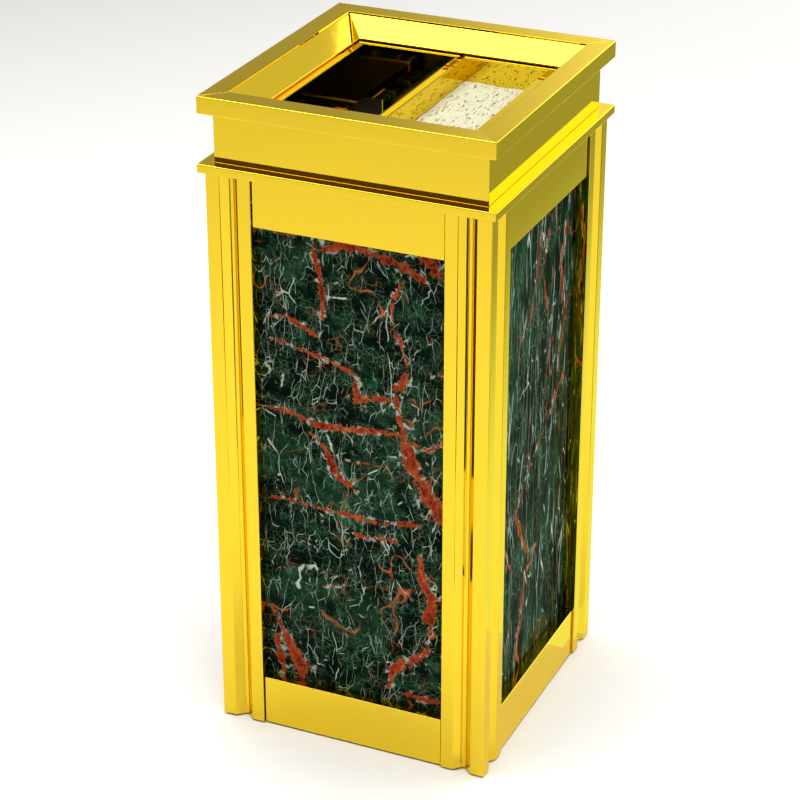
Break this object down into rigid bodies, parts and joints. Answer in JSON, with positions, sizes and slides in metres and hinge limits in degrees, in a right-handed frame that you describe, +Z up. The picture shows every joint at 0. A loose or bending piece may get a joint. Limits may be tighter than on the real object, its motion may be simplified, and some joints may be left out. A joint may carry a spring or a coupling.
{
  "type": "ashtray bin",
  "caption": "Square lobby bin with marble side panels in a gold metal frame, and a lift-off head holding a waste opening beside a sand-filled ash tray, over an inner bucket.",
  "frame": {"origin": "on the floor under the centre of the bin", "axes": "+Z up, the front face towards -Y, +X to the front's right, the waste opening towards -X"},
  "size_m": [0.272, 0.282, 0.61],
  "materials": {
    "gold_metal": "mirror-polished gold-coloured sheet",
    "marble": "polished dark green marble with red and pale veins",
    "zinc_sheet": "galvanised sheet",
    "steel": "plain bright steel",
    "rubber": "matt black rubber",
    "sand": "coarse white sand with dark grains"
  },
  "bodies": {
    "body": {"corner_post_front_left": "gold_metal", "corner_post_front_right": "gold_metal", "corner_post_back_right": "gold_metal", "corner_post_back_left": "gold_metal", "top_rail_front": "gold_metal", "top_rail_right": "gold_metal", "top_rail_back": "gold_metal", "top_rail_left": "gold_metal", "bottom_rail_front": "gold_metal", "bottom_rail_right": "gold_metal", "bottom_rail_back": "gold_metal", "bottom_rail_left": "gold_metal", "marble_panel_front": "marble", "marble_panel_right": "marble", "marble_panel_back": "marble", "marble_panel_left": "marble", "panel_angle_front_left": "zinc_sheet", "panel_angle_front_right": "zinc_sheet", "panel_angle_back_right": "zinc_sheet", "panel_angle_back_left": "zinc_sheet", "base_plate": "zinc_sheet", "base_screw_front": "steel", "base_screw_right": "steel", "base_screw_back": "steel", "base_screw_left": "steel", "base_pad_front_left": "rubber", "base_pad_front_right": "rubber", "base_pad_back_right": "rubber", "base_pad_back_left": "rubber", "ledge": "gold_metal", "ledge_screw_front": "steel", "ledge_screw_right": "steel", "ledge_screw_back": "steel", "ledge_screw_left": "steel", "head_collar": "zinc_sheet"},
    "head": {"rim_frame": "gold_metal", "neck_band": "gold_metal", "hopper": "gold_metal", "recess_seat": "gold_metal", "waste_throat": "gold_metal"},
    "tray": {"ash_tray": "gold_metal", "tray_sand": "sand"},
    "bucket": {"bucket": "zinc_sheet", "bucket_stud_right": "steel", "bucket_stud_left": "steel"},
    "bail": {"bucket_bail": "steel"}
  },
  "joints": [
    {"name": "head_lift", "type": "slide", "parent": "body", "child": "head", "axis": [0, 0, 1], "range_m": [0, 0.66]},
    {"name": "ash_tray_lift", "type": "slide", "parent": "head", "child": "tray", "axis": [0, 0, 1], "range_m": [0, 0.12]},
    {"name": "bucket_lift", "type": "slide", "parent": "body", "child": "bucket", "axis": [0, 0, 1], "range_m": [0, 0.5478]},
    {"name": "bail_swing", "type": "hinge", "parent": "bucket", "child": "bail", "pos_m": [0, 0, 0.488], "axis": [1, 0, 0], "range_deg": [0, 105]}
  ],
  "couplings": [
    {"joint": "bucket_lift", "follows": "head_lift", "ratio": 0.83},
    {"joint": "bail_swing", "follows": "head_lift", "rad_per_m": 2.776}
  ]
}
